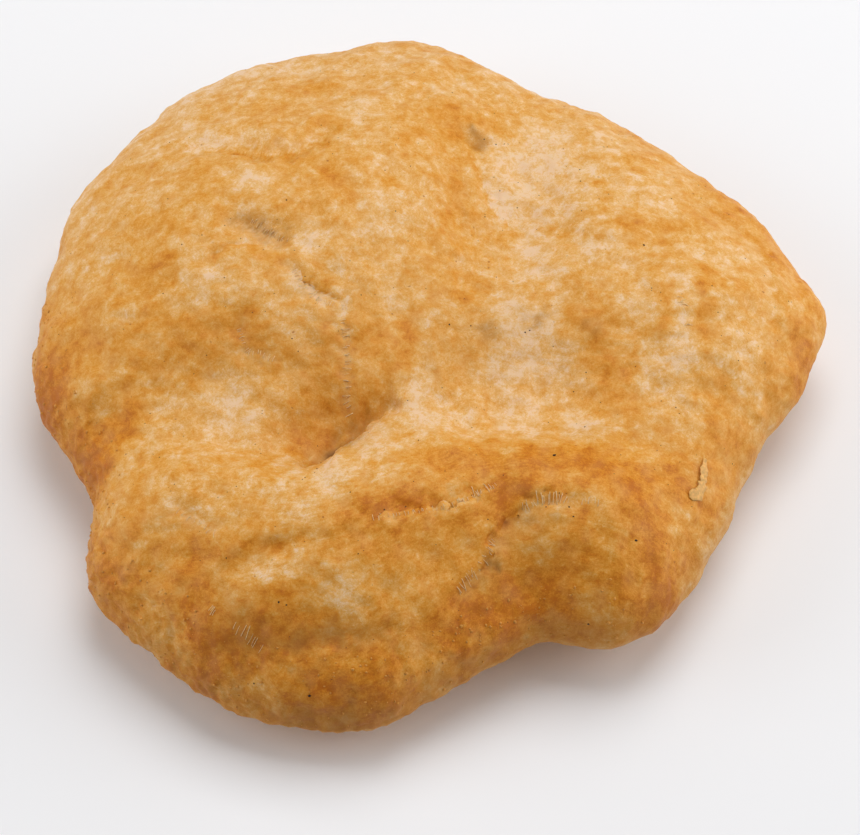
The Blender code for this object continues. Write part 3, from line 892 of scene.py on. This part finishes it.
draw = np.random.default_rng(71)
first_spots = []
last_spots = []
for _, path, count, length, lean in STRAND_ROWS:
    spots, ways = points_along(path, (np.arange(count) + draw.uniform(0.1, 0.9, count)) / count)
    across = np.stack([-ways[:, 1], ways[:, 0]], axis=1) + lean * draw.normal(size=(count, 2))
    half_span = 0.5 * length * draw.uniform(*STRAND_LENGTHS, (count, 1)) * across
    spots = spots + STRAND_SCATTER * draw.normal(size=(count, 2))
    first_spots.append(spots - half_span)
    last_spots.append(spots + half_span)
first_ends, first_normals = skin_under(np.concatenate(first_spots))
last_ends, last_normals = skin_under(np.concatenate(last_spots))
strand_count = len(first_ends)
share = np.linspace(0, 1, STRAND_RINGS)[None, :, None]
normal = (first_normals + last_normals)[:, None] / 2
bow = 4 * share * (1 - share)
sag = draw.uniform(*STRAND_SAGS, (strand_count, 1, 1))
strand_middles = (
    first_ends[:, None] * (1 - share)
    + last_ends[:, None] * share
    + normal * (STRAND_RISE * sag * bow - STRAND_SUNK)
)
along = last_ends - first_ends
along /= np.maximum(np.linalg.norm(along, axis=1, keepdims=True), 1e-6)
strand_side = np.cross(along[:, None], normal)
strand_side /= np.maximum(np.linalg.norm(strand_side, axis=2, keepdims=True), 1e-6)
strand_up = np.cross(strand_side, along[:, None])
strand_middles = strand_middles + strand_side * bow * draw.normal(0, STRAND_BEND, (strand_count, 1, 1))
strand_radii = STRAND_RADIUS * draw.uniform(*STRAND_WIDTHS, (strand_count, 1, 1))
strand_radii = strand_radii * (STRAND_FOOT - STRAND_WAIST * bow)
strand_shape = (strand_count, STRAND_RINGS, 3)
strand_points, strand_faces = tubes(
    strand_middles,
    np.broadcast_to(strand_radii, (strand_count, STRAND_RINGS, 2)),
    np.broadcast_to(strand_side, strand_shape),
    np.broadcast_to(strand_up, strand_shape),
    STRAND_SIDES,
)
new_piece("gluten_strands", strand_points, strand_faces, plain_material("stretched_gluten", "#E8C693", 0.4,
    0.3))

# ---------------------------------------------------------------------------------------------
# The specks. Burnt flour and bran from the fat, stuck in the skin: small flat grains, near black,
# the large ones where they lie and the fine ones scattered.
# ---------------------------------------------------------------------------------------------

# Place (x, y) and half width in mm.
SPECKS = (
    (18, -25.4, 0.30), (29.6, -37.3, 0.27), (22.8, -45.8, 0.24), (-16.7, -57.8, 0.24), (-11.2, -33.2, 0.13),
    (-18.1, -29.9, 0.13), (-16.2, -28.4, 0.10), (-21.1, -47.7, 0.14), (-20.1, -48.1, 0.12), (-24.9, -55.7,
        0.12),
    (-28.9, -40.9, 0.12), (8.3, -35.3, 0.13), (10.8, -29.2, 0.10), (20, -33.8, 0.13), (20.6, -35, 0.12),
    (14.3, -2.4, 0.12), (18.2, -4.4, 0.11), (17.5, -16.6, 0.11), (3, -2.1, 0.13), (6.2, -2.0, 0.12),
    (32, 12.8, 0.22), (-33.4, 11.5, 0.10), (-27.6, 10.8, 0.09), (-30.1, 4.0, 0.09), (-36.6, 10.2, 0.10),
    (-39.1, 2.9, 0.11), (-25.8, -1.5, 0.10), (-38.7, 19.6, 0.10), (-21.2, 16.5, 0.12), (-22.4, 1.1, 0.09),
    (-9.9, 1.5, 0.12), (-20.0, -5.6, 0.11), (-32.3, -7.1, 0.09), (-19.0, -7.4, 0.09), (5.9, -24.3, 0.09),
    (-15.9, -27.7, 0.12), (-17.8, -29.7, 0.10), (-15.3, -25.2, 0.12), (-11.4, -19.7, 0.12), (-1.4, -22.4,
        0.09),
    (10.9, 24.7, 0.11), (13.3, 21.7, 0.09), (8.4, 19.0, 0.10), (26.1, 11.8, 0.11), (14.8, -1.9, 0.11),
    (-30.0, 13.4, 0.10), (-37.0, -29.9, 0.09), (-24.4, -21.5, 0.09), (36.0, -14.2, 0.09), (44.6, -19.0, 0.10),
)
FINE_SPECKS = 300
FINE_SPECK_SIZES = (0.045, 0.10)
SPECK_THICKNESS = 0.45  # of the half width
SPECK_UNEVENNESS = 0.3
RIM_CLEARANCE = 0.97  # share of the way out up to which fine specks lie


def icosahedron():
    """The 12 corners, on the unit sphere, and the 20 faces of an icosahedron."""
    golden = (1 + math.sqrt(5)) / 2
    corners = np.array(
        [(-1, golden, 0), (1, golden, 0), (-1, -golden, 0), (1, -golden, 0), (0, -1, golden), (0, 1, golden),
         (0, -1, -golden), (0, 1, -golden), (golden, 0, -1), (golden, 0, 1), (-golden, 0, -1), (-golden, 0,
             1)]
    )
    faces = np.array(
        [(0, 11, 5), (0, 5, 1), (0, 1, 7), (0, 7, 10), (0, 10, 11), (1, 5, 9), (5, 11, 4), (11, 10, 2),
            (10, 7, 6),
         (7, 1, 8), (3, 9, 4), (3, 4, 2), (3, 2, 6), (3, 6, 8), (3, 8, 9), (4, 9, 5), (2, 4, 11), (6, 2, 10),
         (8, 6, 7), (9, 8, 1)]
    )
    return corners / math.hypot(1, golden), faces


def grains(middles, normals, half_widths, thickness, unevenness, seed):
    """Uneven flat grains: icosahedra with each corner pushed in or out, flattened along the normals."""
    draw = np.random.default_rng(seed)
    corners, faces = icosahedron()
    count = len(middles)
    shape = corners[None] * (1 + unevenness * draw.uniform(-1, 1, (count, len(corners), 1)))
    stretch = 1 + unevenness * draw.uniform(-1, 1, (count, 1, 3))
    shape = shape * stretch * half_widths[:, None, None]
    along_normal = (shape * normals[:, None]).sum(axis=2, keepdims=True)
    shape = shape - normals[:, None] * along_normal * (1 - thickness)
    numbers = faces[None] + len(corners) * np.arange(count)[:, None, None]
    return (middles[:, None] + shape).reshape(-1, 3), numbers.reshape(-1, 3).tolist()


draw = np.random.default_rng(81)
fine_turn = draw.uniform(0, 2 * math.pi, FINE_SPECKS)
fine_reach = RIM_CLEARANCE * np.sqrt(draw.uniform(0, 1, FINE_SPECKS)) * round_the_ring(OUTLINE, fine_turn)
fine_spots = np.stack([fine_reach * np.cos(fine_turn), fine_reach * np.sin(fine_turn)], axis=1)
speck_spots = np.concatenate([np.array(SPECKS)[:, :2], fine_spots])
speck_sizes = np.concatenate([np.array(SPECKS)[:, 2], draw.uniform(*FINE_SPECK_SIZES, FINE_SPECKS)])
speck_places, speck_normals = skin_at(speck_spots)
speck_points, speck_faces = grains(
    speck_places, speck_normals, speck_sizes, SPECK_THICKNESS, SPECK_UNEVENNESS, 82
)
new_piece("burnt_specks", speck_points, speck_faces, plain_material("burnt_flour", "#33200F", 0.6, 0.0))

# ---------------------------------------------------------------------------------------------
# The flake. A scrap of the outermost skin that tore loose as it blistered, on the right: thin, ragged
# and paler than the crust, standing a little off it.
# ---------------------------------------------------------------------------------------------

# Name, path over the skin in mm, half width and half thickness in mm.
FLAKES = (
    ("flake on the right",
     ((40.1, -21.2), (39.8, -23.2), (39.5, -25.2), (39.0, -26.9), (38.3, -27.7), (37.5, -27.6)), 1.1, 0.11),
)
FLAKE_RINGS = 24
FLAKE_SIDES = 10
FLAKE_TILT = math.radians(5)
FLAKE_KNOTS = 6  # places where the flake follows the skin
FLAKE_LIFT = (0.20, 0.15)  # mm off the skin at its ends, and how much more in the middle
FLAKE_RAG = 0.35  # how uneven its edges are
FLAKE_WIDENING = (0.55, 0.6)  # share of the width at the first end, and how much is added by the last
flake_points = []
flake_faces = []
for number, (_, path, half_width, half_thickness) in enumerate(FLAKES):
    shares = np.linspace(0, 1, FLAKE_RINGS)
    knot_shares = np.linspace(0, 1, FLAKE_KNOTS)
    knots, knot_normals = skin_under(points_along(path, knot_shares)[0])
    feet = np.stack([np.interp(shares, knot_shares, column) for column in knots.T], axis=1)
    up_there = np.stack([np.interp(shares, knot_shares, column) for column in knot_normals.T], axis=1)
    up_there /= np.linalg.norm(up_there, axis=1, keepdims=True)
    ways = np.gradient(feet, axis=0)
    ways /= np.linalg.norm(ways, axis=1, keepdims=True)
    across = np.cross(ways, up_there)
    across /= np.linalg.norm(across, axis=1, keepdims=True)
    ragged = 1 + FLAKE_RAG * waves(feet, 0.8, 91 + number)
    taper = np.sin(math.pi * (0.03 + 0.94 * shares)) ** 0.45
    middles = feet + up_there * (FLAKE_LIFT[0] + FLAKE_LIFT[1] * np.sin(math.pi * shares))[:, None]
    side = across * math.cos(FLAKE_TILT) + up_there * math.sin(FLAKE_TILT)
    up = up_there * math.cos(FLAKE_TILT) - across * math.sin(FLAKE_TILT)
    widening = FLAKE_WIDENING[0] + FLAKE_WIDENING[1] * shares
    radii = np.stack([half_width * widening * ragged * taper, half_thickness * taper], axis=1)
    points, flake_walls = tubes(middles[None], radii[None], side[None], up[None], FLAKE_SIDES)
    offset = sum(map(len, flake_points))
    flake_points.append(points)
    flake_faces += [[corner + offset for corner in face] for face in flake_walls]
blistered = plain_material("blistered_skin", "#E0AA5E", 0.45, 0.2)
new_piece("skin_flakes", np.concatenate(flake_points), flake_faces, blistered)

# ---------------------------------------------------------------------------------------------
# The crumbs. Bits of dough that fried onto the low rim and the torn left edge: uneven grains of
# crust, half sunk, that make the outline crumbly there.
# ---------------------------------------------------------------------------------------------

CRUMBS = 650
CRUMB_ARC = (170, 305)  # degrees round the ring
CRUMB_BAND = (0.10, 1.6)  # share of the way in over which they lie, and how strongly they gather at the edge
CRUMB_SIZES = (0.06, 0.20,
    2.5)  # mm: the smallest half width, what is added at most, and how rare large ones are
CRUMB_THICKNESS = 0.8  # of the half width
CRUMB_UNEVENNESS = 0.35
draw = np.random.default_rng(95)
rim_turn = np.radians(draw.uniform(*CRUMB_ARC, CRUMBS))
rim_share = 1 - CRUMB_BAND[0] * draw.uniform(0, 1, CRUMBS) ** CRUMB_BAND[1]
rim_reach = rim_share * round_the_ring(OUTLINE, rim_turn)
rim_spots = np.stack([rim_reach * np.cos(rim_turn), rim_reach * np.sin(rim_turn)], axis=1)
crumb_places, crumb_normals = skin_at(rim_spots)
smallest, added, rarity = CRUMB_SIZES
crumb_sizes = smallest + added * draw.uniform(0, 1, CRUMBS) ** rarity
crumb_points, crumb_faces = grains(
    crumb_places, crumb_normals, crumb_sizes, CRUMB_THICKNESS, CRUMB_UNEVENNESS, 96
)
new_piece("rim_crumbs", crumb_points, crumb_faces, plain_material("fried_crumbs", "#D2923F", 0.5, 0.1))

# ---------------------------------------------------------------------------------------------
# The studio: a pale floor, a large soft light high behind the piece and one low on each side, a pale
# sky all round, and a long lens that looks down on the piece from the front.
# ---------------------------------------------------------------------------------------------

CAMERA_HEIGHT_ANGLE = math.radians(55)
CAMERA_DISTANCE = 0.6
VIEW_WIDTH = 0.1293  # metres across the frame at the aim point
AIM = Vector((0.0, -0.0055, 0.006))

camera_data = bpy.data.cameras.new("camera")
camera_data.sensor_width = 36
camera_data.lens = camera_data.sensor_width * CAMERA_DISTANCE / VIEW_WIDTH
camera = bpy.data.objects.new("camera", camera_data)
away = Vector((0, -math.cos(CAMERA_HEIGHT_ANGLE), math.sin(CAMERA_HEIGHT_ANGLE)))
camera.location = AIM + away * CAMERA_DISTANCE
camera.rotation_euler = away.to_track_quat("Z", "Y").to_euler()
bpy.context.scene.collection.objects.link(camera)
bpy.context.scene.camera = camera

floor_mesh = bpy.data.meshes.new("floor")
half = 1.5  # metres
floor_mesh.from_pydata([(-half, -half, 0), (half, -half, 0), (half, half, 0), (-half, half, 0)], [],
    [(0, 1, 2, 3)])
floor = bpy.data.objects.new("floor", floor_mesh)
bpy.context.scene.collection.objects.link(floor)
floor_material = bpy.data.materials.new("matt_white_table")
floor_material.use_nodes = True
floor_material.node_tree.nodes["Principled BSDF"].inputs["Base Color"].default_value = linear("#F4F4F6")
floor_material.node_tree.nodes["Principled BSDF"].inputs["Roughness"].default_value = 0.7
floor_mesh.materials.append(floor_material)

world = bpy.data.worlds.new("sky")
world.use_nodes = True
world.node_tree.nodes["Background"].inputs["Color"].default_value = linear("#FFFFFF")
world.node_tree.nodes["Background"].inputs["Strength"].default_value = 0.30
bpy.context.scene.world = world
SOFTBOXES = (
    ("softbox_behind", (0.12, 0.34, 0.82), 0.6, 4.2),
    ("softbox_left", (-0.60, 0.0, 0.28), 0.5, 1.5),
    ("softbox_right", (0.60, 0.05, 0.28), 0.5, 1.8),
)
for name, spot, size, power in SOFTBOXES:
    lamp = bpy.data.lights.new(name, "AREA")
    lamp.size = size
    lamp.energy = power
    lamp_object = bpy.data.objects.new(name, lamp)
    lamp_object.location = spot
    lamp_object.rotation_euler = Vector(spot).to_track_quat("Z", "Y").to_euler()
    bpy.context.scene.collection.objects.link(lamp_object)
bpy.context.scene.view_settings.view_transform = "Standard"
